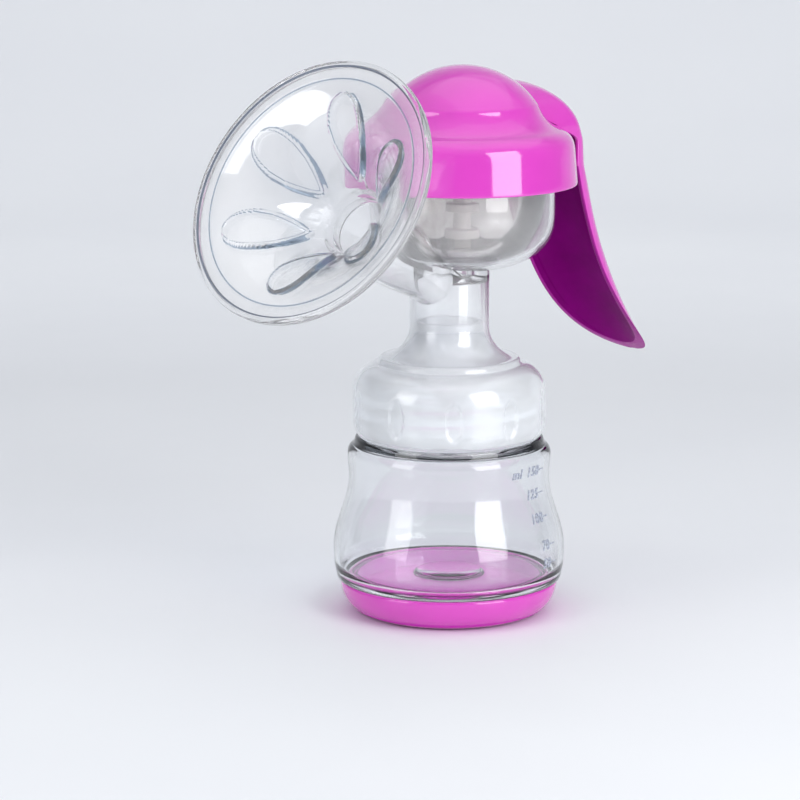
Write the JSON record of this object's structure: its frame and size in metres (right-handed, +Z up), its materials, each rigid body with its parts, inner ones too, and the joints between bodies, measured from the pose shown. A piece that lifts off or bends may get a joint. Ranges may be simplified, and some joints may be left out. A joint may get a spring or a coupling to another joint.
{
  "type": "manual breast pump",
  "caption": "Manual breast pump: clear bottle with a screw-on pump body, side flange with a soft cushion, diaphragm under a domed cap, and a long squeeze handle.",
  "frame": {"origin": "centre of the base cup's flat underside, on the bottle's axis", "axes": "+Z up along the bottle's axis, +X from the bottle's axis towards the handle, so the flange faces -X; mirror plane at Y = 0"},
  "size_m": [0.2048, 0.0924, 0.1928],
  "materials": {
    "magenta_plastic": "glossy moulded plastic",
    "clear_plastic": "clear, polished",
    "milky_plastic": "clear, slightly milky",
    "clear_silicone": "clear soft silicone",
    "milky_silicone": "milky soft silicone",
    "white_plastic": "satin white",
    "steel": "ground pin"
  },
  "bodies": {
    "bottle": {"base_cup": "magenta_plastic", "bottle": "clear_plastic"},
    "valve": {"milk_valve": "milky_silicone"},
    "pump_head": {"pump_collar": "milky_plastic", "pump_tube": "milky_plastic", "pump_bowl": "milky_plastic", "pump_funnel": "milky_plastic", "breast_cushion": "clear_silicone", "diaphragm": "milky_silicone", "cap": "magenta_plastic", "hinge_pin": "steel"},
    "stem": {"stem": "white_plastic"},
    "handle": {"handle": "magenta_plastic"}
  },
  "joints": [
    {"name": "head_lift", "type": "slide", "parent": "bottle", "child": "valve", "axis": [0, 0, 1], "range_m": [0, 0.0076]},
    {"name": "head_twist", "type": "hinge", "parent": "valve", "child": "pump_head", "pos_m": [0, 0, 0.072], "axis": [0, 0, 1], "range_deg": [0, 540]},
    {"name": "handle_squeeze", "type": "hinge", "parent": "pump_head", "child": "handle", "pos_m": [0.0355, 0, 0.1595], "axis": [0, 1, 0], "range_deg": [0, 20], "stiffness_Nm_per_rad": 1, "springref_deg": -2.86},
    {"name": "stem_lift", "type": "slide", "parent": "pump_head", "child": "stem", "axis": [0, 0, 1], "range_m": [0, 0.0099], "deforming": ["diaphragm"]}
  ],
  "couplings": [
    {"joint": "head_lift", "follows": "head_twist", "m_per_rad": 0.00079577},
    {"joint": "stem_lift", "follows": "handle_squeeze", "m_per_rad": 0.0283}
  ]
}
